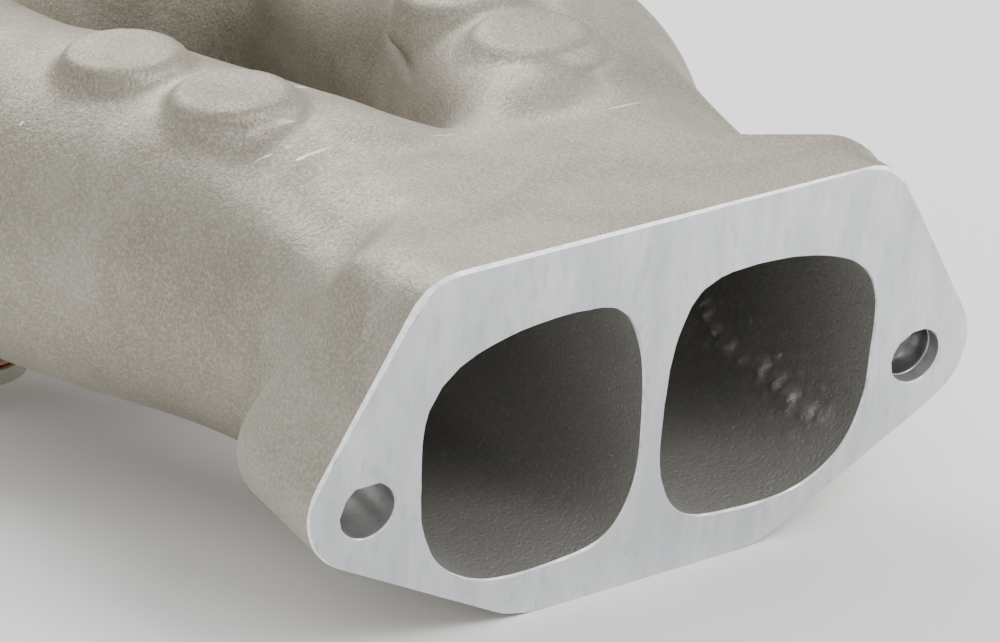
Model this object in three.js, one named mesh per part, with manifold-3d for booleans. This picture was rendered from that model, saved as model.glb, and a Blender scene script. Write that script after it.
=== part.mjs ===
// Intake manifold for a two-port cylinder head and a twin-barrel downdraught carburettor.
// One aluminium casting joins the two siamesed head ports to two round throttle bores.
// The machined head flange faces -Y, the carburettor flange stands at the far end, and the
// whole part lies at rest on the edges of its two flanges, with the bossed side up.
// Units are millimetres.
import * as THREE from "three";
import { mergeVertices } from "three/addons/utils/BufferGeometryUtils.js";
import Module from "manifold-3d";

const wasm = await Module();
wasm.setup();

// ---- driving dimensions ---------------------------------------------------------------

// Head flange. Its face is the plane y = 0, and the line through both stud holes is z = 0.
const STUD_PITCH = 93;
const STUD_HOLE_R = 4.35;
const FLANGE_THICK = 22.4;
const FLANGE_TOP = 34.4;
const TOP_FALL = 0.205; // how fast the flange's top falls behind the face
const SHELF_RISE = 0.0007; // and how that fall eases off along the shelf, per mm
const FLANGE_FOOT = 25.2;
// Half of the outline, as corners with their rounding radius, from the top to the foot.
const FLANGE_CORNERS = [
  { x: 38.8, z: FLANGE_TOP, r: 9 },
  { x: 59.7, z: -3.0, r: 10.6 },
  { x: 21.2, z: -FLANGE_FOOT, r: 15 },
];
// One port in the head face, as points of a closed spline, for the port on the +X side.
const PORT_POINTS = [
  [38.0, 2.0], [37.6, 13.0], [34.2, 18.4], [26.0, 21.9], [14.0, 23.0], [7.0, 21.4], [3.4, 15.0],
  [1.9, 3.0], [2.6, -9.0], [6.6, -15.6], [16.0, -17.6], [27.5, -16.8], [34.4, -12.2], [37.6, -4.5],
];
const PORT_CENTRE = new THREE.Vector2(19.6, 2.6);

// Carburettor flange and throttle bores.
const RISE = 172; // from the head face to the middle of the carburettor face
const BORE_PITCH = 90;
const BORE_R = 22;
const CARB_TILT = THREE.MathUtils.degToRad(9); // between the two flange faces
const CARB_DROP = 16.5; // the middle of the carburettor face lies this far below the stud line
const CARB_THICK = 13;
const CARB_STUDS = { across: 92, along: 66 };
const EAR_R = 11;
const CARB_HALF = { x: BORE_PITCH / 2 + 31, z: CARB_STUDS.along / 2 + EAR_R };
const CARB_CORNER_R = 29;
// The outline draws in between the bores, from x to x, by depth, with these roundings.
const CARB_WAIST = { inner: 19, outer: 29, depth: 9, innerR: 10, outerR: 8 };

// Runners.
const WALL = 4.3;
const ROOT_WALL = 2.8; // wall round the port, where the runner meets the head flange
const ROUND_FROM = 0.15; // the section turns from the port's outline to a circle
const ROUND_TO = 0.48; // between these two places along the runner
const SKIN_FROM = 0.1; // the outer skin starts inside the head flange
const SKIN_TO = 0.96; // and ends inside the carburettor flange
const FLARE = 4; // how much wider a runner is where it meets the carburettor flange
const FLARE_FROM = 0.84;
const FLARE_TO = 0.98;
const RING = 36; // points round a runner
const HEAD_REACH = 96; // how long the centreline holds the head face's direction
const CARB_REACH = 116; // and how long before the carburettor face it takes that one's
const SAG = 2.5; // how far the centreline is pulled down between them
const STATIONS = 14; // rings along a runner

// Shelf over the runners: half its width and its edge radius, at places behind the face.
const SHELF = [
  { y: 1, halfWidth: 38.0, r: 9 },
  { y: FLANGE_THICK, halfWidth: 37.0, r: 12 },
  { y: 34, halfWidth: 37.0, r: 14 },
  { y: 48, halfWidth: 38.0, r: 16 },
  { y: 62, halfWidth: 39.5, r: 17 },
];
// Slot between the runners: a round tip, then sides that spread towards the carburettor.
const SLOT = { tip: 52, r: 7, fromAngle: 1.08 * Math.PI, toAngle: 1.92 * Math.PI, endHalf: 20, endBack: 8 };

const GAP = 0.3; // left between faces that touch

// Hardware on the carburettor flange: M8 studs with nuts, spring washers and flat washers.
const STUD_R = 4;
const STUD_DEPTH = 11;
const STUD_OUT = 30;
const TAPPED_R = STUD_R + GAP;
const WASHER = { r: 8.5, bore: 4.3, thick: 1.6 };
const SPRING = { r: 7.3, bore: 4.3, thick: 2.0, gap: THREE.MathUtils.degToRad(14) };
const NUT = { flats: 13, bore: 4.15, thick: 6.5 };
const GASKET_THICK = 1.2;
const GASKET_INSET = 0.8;
const GASKET_BORE_R = BORE_R + 0.6;

// Steel sleeve behind a shoulder in the +X stud hole.
const SLEEVE = { r: 5.0, bore: 4.2, shoulder: 2.3, length: 4.2 };
const SLEEVE_POCKET_R = SLEEVE.r + GAP;

// Raised pads on the runners, for an injector and a vacuum port, left as cast.
const PADS = [
  { x: -30, y: 69 }, { x: -36.3, y: 91.3 },
  { x: 20.5, y: 66.3 }, { x: 15.5, y: 88.6 },
];
const PAD_R = 9;
const PAD_DRAFT = 2; // how much wider a pad is at its foot
const PAD_HEIGHT = 9;
const PAD_TOP = 28.6;
const PAD_SLOPE = 0.09; // how fast the pads' common face falls along +Y

// Vacuum ports under the runners, each closed by a flanged M10 plug on a sealing ring.
const PLUG = { r: 5, length: 9, flangeR: 7, flange: 3, key: 5, keyDepth: 6 };
const SEAL = { r: 6.8, bore: 5.3, thick: 1 };
const PORT_BOSS_R = 9;
const PORT_BOSS_OUT = 32; // from the runner's centreline to the end of the boss
const PORT_DRILL_R = 2.5;
const PORT_AT = 0.76; // place along the runner's centreline

// ---- solids -----------------------------------------------------------------------------

function solidOf(geometry) {
  const bare = geometry.clone();
  bare.deleteAttribute("normal");
  bare.deleteAttribute("uv");
  const merged = mergeVertices(bare, 1e-3);
  return new wasm.Manifold(
    new wasm.Mesh({
      numProp: 3,
      vertProperties: merged.attributes.position.array,
      triVerts: new Uint32Array(merged.index.array),
    }),
  );
}

function geometryOf(solid) {
  const mesh = solid.getMesh();
  const geometry = new THREE.BufferGeometry();
  geometry.setAttribute("position", new THREE.BufferAttribute(mesh.vertProperties, 3));
  geometry.setIndex(new THREE.BufferAttribute(mesh.triVerts, 1));
  return geometry;
}

function joined(solids) {
  return solids.reduce((all, one) => all.add(one));
}

// A closed solid through rings of equally many points, each ring turning the same way.
function loft(rings) {
  const count = rings[0].length;
  const points = rings.flat();
  const triangles = [];
  for (let k = 0; k + 1 < rings.length; k++) {
    for (let i = 0; i < count; i++) {
      const a = k * count + i;
      const b = k * count + ((i + 1) % count);
      triangles.push(a, b, b + count, a, b + count, a + count);
    }
  }
  const middleOf = (ring) =>
    ring.reduce((sum, p) => sum.add(p), new THREE.Vector3()).divideScalar(count);
  const first = points.push(middleOf(rings[0])) - 1;
  const last = points.push(middleOf(rings[rings.length - 1])) - 1;
  const end = (rings.length - 1) * count;
  for (let i = 0; i < count; i++) {
    const next = (i + 1) % count;
    triangles.push(first, next, i, last, end + i, end + next);
  }
  const geometry = new THREE.BufferGeometry().setFromPoints(points);
  geometry.setIndex(triangles);
  const solid = solidOf(geometry);
  if (solid.volume() > 0) return solid;
  const flipped = [];
  for (let i = 0; i < triangles.length; i += 3)
    flipped.push(triangles[i], triangles[i + 2], triangles[i + 1]);
  geometry.setIndex(flipped);
  return solidOf(geometry);
}

// A closed outline with an arc of radius r at each corner.
function roundedOutline(corners) {
  const outline = new THREE.Shape();
  corners.forEach((corner, i) => {
    const at = new THREE.Vector2(corner.x, corner.z);
    const before = corners[(i + corners.length - 1) % corners.length];
    const after = corners[(i + 1) % corners.length];
    const back = new THREE.Vector2(before.x, before.z).sub(at).normalize();
    const ahead = new THREE.Vector2(after.x, after.z).sub(at).normalize();
    const half = back.angleTo(ahead) / 2;
    const reach = corner.r / Math.tan(half);
    const middle = back.clone().add(ahead).normalize();
    const centre = at.clone().addScaledVector(middle, corner.r / Math.sin(half));
    const start = at.clone().addScaledVector(back, reach).sub(centre).angle();
    const stop = at.clone().addScaledVector(ahead, reach).sub(centre).angle();
    const clockwise = back.cross(ahead) > 0;
    outline.absarc(centre.x, centre.y, corner.r, start, stop, clockwise);
  });
  outline.closePath();
  return outline;
}

// The whole outline from its +X half.
function mirrored(half) {
  const otherSide = half.map((corner) => ({ ...corner, x: -corner.x })).reverse();
  return [...half, ...otherSide];
}

function slab(shape, depth, curveSegments = 8) {
  return new THREE.ExtrudeGeometry(shape, { depth, bevelEnabled: false, curveSegments });
}

function roundBar(r, length, segments = 24) {
  return new THREE.CylinderGeometry(r, r, length, segments).rotateX(Math.PI / 2);
}

// A round bar along Y from y = from to y = to.
function boreAlongY(r, x, from, to) {
  const bar = new THREE.CylinderGeometry(r, r, to - from, 32);
  return solidOf(bar.translate(x, (from + to) / 2, 0));
}

// ---- the carburettor flange's frame: local z is its outward normal ------------------------

const carbFrame = new THREE.Matrix4()
  .makeRotationX(-Math.PI / 2 - CARB_TILT)
  .setPosition(0, RISE, -CARB_DROP);
const carbNormal = new THREE.Vector3(0, 0, 1).transformDirection(carbFrame);

function carbOutline(clearance = 0) {
  const x = CARB_HALF.x - clearance;
  const z = CARB_HALF.z - clearance;
  const { inner, outer, depth, innerR, outerR } = CARB_WAIST;
  return roundedOutline(
    mirrored([
      { x: inner, z: z - depth, r: innerR },
      { x: outer, z, r: outerR },
      { x, z, r: CARB_CORNER_R },
      { x, z: -z, r: CARB_CORNER_R },
      { x: outer, z: -z, r: outerR },
      { x: inner, z: depth - z, r: innerR },
    ]),
  );
}

function eachCarbStud(make) {
  const made = [];
  for (const x of [-1, 1])
    for (const y of [-1, 1])
      made.push(make((x * CARB_STUDS.across) / 2, (y * CARB_STUDS.along) / 2, made.length + 1));
  return made;
}

// ---- runners ------------------------------------------------------------------------------

// Centreline of the runner on one side: square to the head face, then bending outwards and
// down to meet the carburettor face squarely.
function centreline(side) {
  const start = new THREE.Vector3(side * PORT_CENTRE.x, 0, PORT_CENTRE.y);
  const end = new THREE.Vector3((side * BORE_PITCH) / 2, RISE, -CARB_DROP);
  return new THREE.CubicBezierCurve3(
    start,
    start.clone().add(new THREE.Vector3(0, HEAD_REACH, -SAG)),
    end.clone().addScaledVector(carbNormal, -CARB_REACH),
    end,
  );
}

const portSpline = new THREE.CatmullRomCurve3(
  PORT_POINTS.map(([x, z]) => new THREE.Vector3(x, z, 0)),
  true,
);
// The port's points, measured from its centre.
const portRing = portSpline
  .getSpacedPoints(RING)
  .slice(0, RING)
  .map((p) => new THREE.Vector2(p.x, p.y).sub(PORT_CENTRE));

// A ring of the runner, blended from the port's outline (blend 0) to a circle (blend 1).
function runnerRing(side, point, tangent, blend, wall, roundR) {
  const across = new THREE.Vector3().crossVectors(tangent, new THREE.Vector3(0, 0, 1)).normalize();
  const up = new THREE.Vector3().crossVectors(across, tangent);
  return portRing.map((p) => {
    const outward = p.clone().normalize();
    const q = p.clone().addScaledVector(outward, wall).lerp(outward.multiplyScalar(roundR), blend);
    return point.clone().addScaledVector(across, side * q.x).addScaledVector(up, q.y);
  });
}

function runnerLoft(side, { wall, roundR, flare, from, to, overrun }) {
  const curve = centreline(side);
  const rings = [];
  for (let k = 0; k <= STATIONS; k++) {
    const u = from + ((to - from) * k) / STATIONS;
    const blend = THREE.MathUtils.smoothstep(u, ROUND_FROM, ROUND_TO);
    const round = roundR + flare * THREE.MathUtils.smoothstep(u, FLARE_FROM, FLARE_TO);
    rings.push(runnerRing(side, curve.getPointAt(u), curve.getTangentAt(u), blend, wall, round));
  }
  if (overrun > 0) {
    const headwards = new THREE.Vector3(0, -overrun, 0);
    rings.unshift(rings[0].map((p) => p.clone().add(headwards)));
    rings.push(rings[rings.length - 1].map((p) => p.clone().addScaledVector(carbNormal, overrun)));
  }
  return loft(rings);
}

// ---- the casting --------------------------------------------------------------------------

// The outline's points at depth y behind the head face.
function outlineRing(corners, y) {
  return roundedOutline(corners)
    .getPoints(6)
    .slice(0, -1)
    .map((p) => new THREE.Vector3(p.x, y, p.y));
}

// The flange keeps its ears and foot through its thickness, while its top falls away. The
// top corners slide down the straight edges that run to the ears.
function headFlange() {
  const [top, ear, foot] = FLANGE_CORNERS;
  const edge = (ear.x - top.x) / (ear.z - top.z);
  const fall = TOP_FALL * FLANGE_THICK;
  const back = { ...top, x: top.x - edge * fall, z: top.z - fall };
  return loft([
    outlineRing(mirrored([top, ear, foot]), 0),
    outlineRing(mirrored([back, ear, foot]), FLANGE_THICK),
  ]);
}

// The shelf that carries the flange's flat top back over both runners, falling and
// narrowing until it fades into their crowns.
function shelf() {
  const rings = SHELF.map(({ y, halfWidth, r }) => {
    const top = FLANGE_TOP - TOP_FALL * y + SHELF_RISE * y * y;
    const corners = [
      { x: halfWidth, z: top, r },
      { x: halfWidth, z: 0, r: 2 },
    ];
    return outlineRing(mirrored(corners), y);
  });
  return loft(rings);
}

// The slot between the runners, open towards the carburettor flange.
function slot() {
  const outline = new THREE.Shape();
  const end = RISE - CARB_THICK - SLOT.endBack;
  outline.absarc(0, SLOT.tip + SLOT.r, SLOT.r, SLOT.fromAngle, SLOT.toAngle, false);
  outline.lineTo(SLOT.endHalf, end);
  outline.lineTo(-SLOT.endHalf, end);
  outline.closePath();
  const tall = 4 * FLANGE_TOP;
  return solidOf(slab(outline, tall, 10).translate(0, 0, -tall / 2));
}

function carbFlange() {
  const plate = slab(carbOutline(), CARB_THICK, 6).translate(0, 0, -CARB_THICK);
  return solidOf(plate.applyMatrix4(carbFrame));
}

function pad({ x, y }) {
  const bar = new THREE.CylinderGeometry(PAD_R, PAD_R + PAD_DRAFT, PAD_HEIGHT, 24);
  bar.rotateX(Math.PI / 2).translate(0, 0, -PAD_HEIGHT / 2);
  bar.rotateX(-Math.atan(PAD_SLOPE));
  return solidOf(bar.translate(x, y, PAD_TOP - PAD_SLOPE * (y - PADS[0].y)));
}

// Where a vacuum port leaves a runner: local z points down, away from the centreline.
function portFrame(side) {
  const curve = centreline(side);
  const tangent = curve.getTangentAt(PORT_AT);
  const across = new THREE.Vector3().crossVectors(tangent, new THREE.Vector3(0, 0, 1)).normalize();
  const down = new THREE.Vector3().crossVectors(tangent, across);
  return new THREE.Matrix4()
    .makeBasis(across, new THREE.Vector3().crossVectors(down, across), down)
    .setPosition(curve.getPointAt(PORT_AT));
}

// A round bar on a vacuum port's axis, between two distances from the centreline.
function portBar(side, r, from, to) {
  const bar = roundBar(r, to - from, 28).translate(0, 0, (from + to) / 2);
  return solidOf(bar.applyMatrix4(portFrame(side)));
}

function portBoss(side) {
  return portBar(side, PORT_BOSS_R, BORE_R + 1, PORT_BOSS_OUT);
}

function portHole(side) {
  const seat = PORT_BOSS_OUT - PLUG.length + SEAL.thick;
  const thread = portBar(side, PLUG.r + GAP, seat, PORT_BOSS_OUT + 1);
  return thread.add(portBar(side, PORT_DRILL_R, BORE_R - 4, seat + 1));
}

function casting() {
  const both = (make) => joined([make(-1), make(1)]);
  const skin = {
    wall: ROOT_WALL,
    roundR: BORE_R + WALL,
    flare: FLARE,
    from: SKIN_FROM,
    to: SKIN_TO,
    overrun: 0,
  };
  const passage = { wall: 0, roundR: BORE_R, flare: 0, from: 0, to: 1, overrun: 3 };
  const outer = both((side) => runnerLoft(side, skin));
  const inner = both((side) => runnerLoft(side, passage));
  const studHoles = both((side) =>
    boreAlongY(STUD_HOLE_R, (side * STUD_PITCH) / 2, -1, FLANGE_THICK + 12),
  );
  const sleevePocket = boreAlongY(
    SLEEVE_POCKET_R, STUD_PITCH / 2, SLEEVE.shoulder, FLANGE_THICK + 12,
  );
  const tapped = joined(
    eachCarbStud((x, y) =>
      solidOf(
        roundBar(TAPPED_R, STUD_DEPTH + 1, 24)
          .translate(x, y, (1 - STUD_DEPTH) / 2)
          .applyMatrix4(carbFrame),
      ),
    ),
  );
  const body = joined([
    headFlange(),
    shelf().subtract(slot()),
    outer,
    carbFlange(),
    ...PADS.map(pad),
    both(portBoss),
  ]);
  return [inner, studHoles, sleevePocket, tapped, both(portHole)].reduce(
    (left, cut) => left.subtract(cut),
    body,
  );
}

// ---- loose pieces ---------------------------------------------------------------------------

function ringShape(outer, inner, gap = 0) {
  const shape = new THREE.Shape();
  if (gap > 0) {
    shape.absarc(0, 0, outer, gap / 2, 2 * Math.PI - gap / 2, false);
    shape.absarc(0, 0, inner, 2 * Math.PI - gap / 2, gap / 2, true);
    shape.closePath();
    return shape;
  }
  shape.absarc(0, 0, outer, 0, 2 * Math.PI, false);
  shape.holes.push(new THREE.Path().absarc(0, 0, inner, 0, 2 * Math.PI, true));
  return shape;
}

function gasketGeometry() {
  const bar = (r, x, y) => solidOf(roundBar(r, GASKET_THICK * 3, 32).translate(x, y, 0));
  const bores = [-1, 1].map((side) => bar(GASKET_BORE_R, (side * BORE_PITCH) / 2, 0));
  const studHoles = eachCarbStud((x, y) => bar(STUD_R + GAP, x, y));
  const sheet = solidOf(slab(carbOutline(GASKET_INSET), GASKET_THICK, 6));
  return geometryOf(sheet.subtract(joined([...bores, ...studHoles])));
}

function studGeometry() {
  const chamfer = 1;
  const profile = [
    [0, -STUD_DEPTH + GAP],
    [STUD_R - chamfer, -STUD_DEPTH + GAP],
    [STUD_R, -STUD_DEPTH + GAP + chamfer],
    [STUD_R, STUD_OUT - chamfer],
    [STUD_R - chamfer, STUD_OUT],
    [0, STUD_OUT],
  ].map(([r, z]) => new THREE.Vector2(r, z));
  return new THREE.LatheGeometry(profile, 24).rotateX(Math.PI / 2);
}

function nutGeometry() {
  const corner = NUT.flats / 2 / Math.cos(Math.PI / 6);
  const hexagon = new THREE.Shape();
  for (let i = 0; i < 6; i++) {
    const angle = (i * Math.PI) / 3;
    const move = i === 0 ? "moveTo" : "lineTo";
    hexagon[move](corner * Math.cos(angle), corner * Math.sin(angle));
  }
  hexagon.closePath();
  hexagon.holes.push(new THREE.Path().absarc(0, 0, NUT.bore, 0, 2 * Math.PI, true));
  return slab(hexagon, NUT.thick, 12);
}

// The plug's flange starts at z = 0, its thread runs the other way.
function plugGeometry() {
  const chamfer = 0.8;
  const profile = [
    [0, -PLUG.length],
    [PLUG.r - chamfer, -PLUG.length],
    [PLUG.r, -PLUG.length + chamfer],
    [PLUG.r, 0],
    [PLUG.flangeR, 0],
    [PLUG.flangeR, PLUG.flange - chamfer],
    [PLUG.flangeR - chamfer, PLUG.flange],
    [0, PLUG.flange],
  ].map(([r, z]) => new THREE.Vector2(r, z));
  const body = solidOf(new THREE.LatheGeometry(profile, 28).rotateX(Math.PI / 2));
  const corner = PLUG.key / 2 / Math.cos(Math.PI / 6);
  const key = new THREE.CylinderGeometry(corner, corner, PLUG.keyDepth * 2, 6);
  return geometryOf(body.subtract(solidOf(key.rotateX(Math.PI / 2).translate(0, 0, PLUG.flange))));
}

function sleeveGeometry() {
  return slab(ringShape(SLEEVE.r, SLEEVE.bore), SLEEVE.length, 14).rotateX(-Math.PI / 2);
}

// ---- materials and the assembly ---------------------------------------------------------------

function finish(color, roughness, metalness) {
  return new THREE.MeshStandardMaterial({ color, roughness, metalness });
}

const finishes = {
  castAluminium: finish(0xb3aea3, 0.62, 0.85),
  zincSteel: finish(0xc9c6b8, 0.35, 1),
  darkSteel: finish(0x6f6f70, 0.4, 1),
  gasketFibre: finish(0x3c3f3d, 0.85, 0),
  copper: finish(0xb36a46, 0.4, 1),
};

function named(name, geometry, surface) {
  const mesh = new THREE.Mesh(geometry, finishes[surface]);
  mesh.name = name;
  return mesh;
}

const manifold = new THREE.Group();
manifold.add(named("manifold_casting", geometryOf(casting()), "castAluminium"));

const sleeve = named("stud_hole_sleeve", sleeveGeometry(), "darkSteel");
sleeve.position.set(STUD_PITCH / 2, SLEEVE.shoulder + GAP, 0);
manifold.add(sleeve);

for (const [side, word] of [[-1, "left"], [1, "right"]]) {
  const port = new THREE.Group();
  port.applyMatrix4(portFrame(side));
  const seal = slab(ringShape(SEAL.r, SEAL.bore), SEAL.thick, 14);
  const ring = named(`sealing_ring_${word}`, seal, "copper");
  ring.position.z = PORT_BOSS_OUT + GAP;
  const plug = named(`vacuum_plug_${word}`, plugGeometry(), "zincSteel");
  plug.position.z = PORT_BOSS_OUT + GAP + SEAL.thick + GAP;
  port.add(ring, plug);
  manifold.add(port);
}

const carbSide = new THREE.Group();
carbSide.applyMatrix4(carbFrame);
const gasket = named("carburettor_gasket", gasketGeometry(), "gasketFibre");
gasket.position.z = GAP;
carbSide.add(gasket);
eachCarbStud((x, y, n) => {
  const washerAt = GAP + GASKET_THICK + GAP;
  const springAt = washerAt + WASHER.thick + GAP;
  const nutAt = springAt + SPRING.thick + GAP;
  const flat = slab(ringShape(WASHER.r, WASHER.bore), WASHER.thick, 14);
  const spring = slab(ringShape(SPRING.r, SPRING.bore, SPRING.gap), SPRING.thick, 14);
  const stack = [
    [`carburettor_stud_${n}`, studGeometry(), 0, "zincSteel"],
    [`flat_washer_${n}`, flat, washerAt, "zincSteel"],
    [`spring_washer_${n}`, spring, springAt, "darkSteel"],
    [`stud_nut_${n}`, nutGeometry(), nutAt, "zincSteel"],
  ];
  for (const [name, geometry, z, surface] of stack) {
    const mesh = named(name, geometry, surface);
    mesh.position.set(x, y, z);
    carbSide.add(mesh);
  }
});
manifold.add(carbSide);

// The part rests on the foot of the head face and on the lower edge of the carburettor flange.
const carbFoot = new THREE.Vector3(0, CARB_HALF.z, 0).applyMatrix4(carbFrame);
manifold.rotation.x = Math.atan2(-FLANGE_FOOT - carbFoot.z, carbFoot.y);

const part = new THREE.Group();
part.add(manifold);
export default part;
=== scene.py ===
# Twin-runner intake manifold: the finished look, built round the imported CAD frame.
# Shapes are worked out in millimetres in the casting's own frame (head face at y = 0, the
# line through both head studs at z = 0) and leaned back onto the floor at the end.
import math

import bmesh
import bpy
import numpy as np
from mathutils import Matrix, Vector
from mathutils import noise as mnoise
from mathutils.geometry import delaunay_2d_cdt


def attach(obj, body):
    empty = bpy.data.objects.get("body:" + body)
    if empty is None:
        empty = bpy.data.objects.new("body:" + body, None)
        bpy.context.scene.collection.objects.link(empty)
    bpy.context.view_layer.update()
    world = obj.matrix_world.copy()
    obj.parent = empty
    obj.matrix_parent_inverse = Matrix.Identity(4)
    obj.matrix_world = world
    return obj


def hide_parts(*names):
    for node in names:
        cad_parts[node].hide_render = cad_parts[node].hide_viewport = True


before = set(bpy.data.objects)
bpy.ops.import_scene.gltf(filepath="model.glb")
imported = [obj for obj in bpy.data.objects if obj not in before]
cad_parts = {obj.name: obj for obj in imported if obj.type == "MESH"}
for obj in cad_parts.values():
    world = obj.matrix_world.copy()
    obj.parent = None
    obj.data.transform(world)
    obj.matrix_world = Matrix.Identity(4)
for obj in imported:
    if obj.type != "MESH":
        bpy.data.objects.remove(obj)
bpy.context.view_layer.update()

MM = 0.001

# ---- driving dimensions, mm -------------------------------------------------------------

LEAN = 0.207478  # turn about X that lays both flange feet within 1 mm of level
STUD_PITCH = 93.0
STUD_HOLE_R = 4.35
STUD_HOLE_END = 23.5
FLANGE_TOP = 34.4
TOP_FALL = 0.205  # slope of the top at the head face
SHELF_RISE = 0.0007  # how the slope eases off behind it
FLANGE_FOOT = 25.2
FLANGE_BACK, FLANGE_BACK_TOP = 22.4, 17.5  # the flange's thickness low down and at its top
# The right port's outline in the head face.
PORT_POINTS = [
    (38.0, 2.0), (37.6, 13.0), (34.2, 18.4), (26.0, 21.9), (14.0, 23.0), (7.0, 21.4), (3.4, 15.0),
    (1.9, 3.0), (2.6, -9.0), (6.6, -15.6), (16.0, -17.6), (27.5, -16.8), (34.4, -12.2), (37.6, -4.5),
]
PORT_X, PORT_Z = 19.6, 2.6

# Carburettor face: its distance from the head face, tilt and drop, and what lies in it.
RISE = 172.0
BORE_X = 45.0
BORE_R = 22.0
CARB_TILT = math.radians(9)
CARB_DROP = 16.5
CARB_THICK = 13.0
CARB_STUD_X, CARB_STUD_Y = 46.0, 33.0
CARB_HALF_X, CARB_HALF_Z = 76.0, 44.0
CARB_CORNER_R = 29.0
CARB_WAIST_X, CARB_WAIST = 19.0, 9.0  # the notch in each long side: half its floor, and its depth
CARB_STUDS = [(x, y) for x in (-CARB_STUD_X, CARB_STUD_X) for y in (-CARB_STUD_Y, CARB_STUD_Y)]
TAPPED_R = 4.3
STUD_DEPTH = 11.0

# Runners: stretches are shares of the centreline's length.
WALL, ROOT_WALL = 4.3, 2.8
ROUND_FROM, ROUND_TO = 0.15, 0.48
FLARE = 4.0
FLARE_FROM, FLARE_TO = 0.84, 0.98
HEAD_REACH, CARB_REACH, SAG = 96.0, 116.0, 2.5

# The shelf behind the flange, and the slot between the runners that ends it.
SHELF_FRONT, SHELF_END = 13.0, 72.0
SHELF_AT = [15.0, 18.0, 22.0, 27.0, 34.0, 48.0, 62.0]
SHELF_HALF = [39.6, 40.2, 39.4, 38.0, 37.0, 38.0, 39.5]
SLOT_TIP_Y, SLOT_TIP_R, SLOT_SPREAD = 66.0, 7.0, 0.141

PADS = [[(-30.0, 69.0), (-36.3, 91.3)], [(20.5, 66.3), (20.0, 88.0)]]
PAD_R = 9.0
PAD_TOP = 28.6
PAD_SLOPE = 0.09
PAD_FROM = 69.0
PAD_DRAFT, PAD_COS = 0.2, 0.98  # the slope of a pad's side, and its cosine
PAD_HEIGHT = 9.0

# A square shoulder on each crown: how far in it reaches and how far below the pads it lies.
SHOULDERS = {-1: (21.0, 3.8), 1: (24.5, 1.4)}

# Vacuum bosses: distances run down from the runner's centreline, PORT_AT of the way along it.
PORT_AT = 0.76
PORT_BOSS_R, PORT_BOSS_FROM, PORT_BOSS_OUT = 9.0, 20.0, 32.0
PORT_DRILL_R, PORT_DRILL_FROM = 5.3, 24.0
PORT_HOLE_R, PORT_HOLE_FROM = 2.5, 18.0
GAP = 0.3  # room left between pieces that don't touch

STEP = 1.0  # grid of the casting's surface
FINE = 0.55  # share of it where the stud holes are
NUDGE = 0.013  # keeps the grid's points off the shape's own planes
MAX_TRIANGLES = 192_000

COS_T, SIN_T = math.cos(CARB_TILT), math.sin(CARB_TILT)
CARB_ORIGIN = np.array([0.0, RISE, -CARB_DROP])
CARB_NORMAL = np.array([0.0, COS_T, -SIN_T])
CARB_DOWN = np.array([0.0, -SIN_T, -COS_T])


# ---- frames --------------------------------------------------------------------------------

def lean(points):
    """Casting frame in mm to the row frame in metres."""
    p = np.asarray(points, float)
    c, s = math.cos(LEAN), math.sin(LEAN)
    out = np.empty_like(p)
    out[..., 0] = p[..., 0]
    out[..., 1] = c * p[..., 1] - s * p[..., 2]
    out[..., 2] = s * p[..., 1] + c * p[..., 2]
    return out * MM


LEAN_MATRIX = Matrix.Rotation(LEAN, 4, "X")
SCALE_MATRIX = Matrix.Scale(MM, 4)
CARB_TURN = Matrix.Rotation(-math.pi / 2 - CARB_TILT, 4, "X")
CARB_MATRIX = Matrix.Translation((0, RISE, -CARB_DROP)) @ CARB_TURN


def to_row(local):
    """The whole matrix from a local frame in mm to the row frame in metres."""
    return SCALE_MATRIX @ LEAN_MATRIX @ local


# ---- small field helpers ---------------------------------------------------------------------

def smooth01(t):
    """An S-shaped step from 0 to 1 as t goes from 0 to 1."""
    t = np.clip(t, 0.0, 1.0)
    return t * t * (3 - 2 * t)


def smin(a, b, k):
    """The smaller of two distances, with a fillet of size k where they meet."""
    h = np.maximum(k - np.abs(a - b), 0.0) / k
    return np.minimum(a, b) - h * h * k / 4


def smax(a, b, k):
    return -smin(-a, -b, k)


def rounded_outline(corners, per_arc=10):
    """Points round a closed polygon whose corners (x, z, r) are rounded."""
    out = []
    n = len(corners)
    for i, (x, z, r) in enumerate(corners):
        at = np.array([x, z])
        back = np.array(corners[i - 1][:2]) - at
        ahead = np.array(corners[(i + 1) % n][:2]) - at
        back /= np.linalg.norm(back)
        ahead /= np.linalg.norm(ahead)
        half = math.acos(np.clip(back @ ahead, -1, 1)) / 2
        middle = (back + ahead) / np.linalg.norm(back + ahead)
        centre = at + middle * r / math.sin(half)
        reach = r / math.tan(half)
        a0 = math.atan2(*(at + back * reach - centre)[::-1])
        a1 = math.atan2(*(at + ahead * reach - centre)[::-1])
        turn = (a1 - a0 + math.pi) % (2 * math.pi) - math.pi
        for k in range(per_arc + 1):
            a = a0 + turn * k / per_arc
            out.append(centre + r * np.array([math.cos(a), math.sin(a)]))
    return np.array(out)


def mirrored(half):
    """The corners of an outline that is the same on both sides, from its right half."""
    return half + [(-x, z, r) for x, z, r in reversed(half)]


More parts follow.
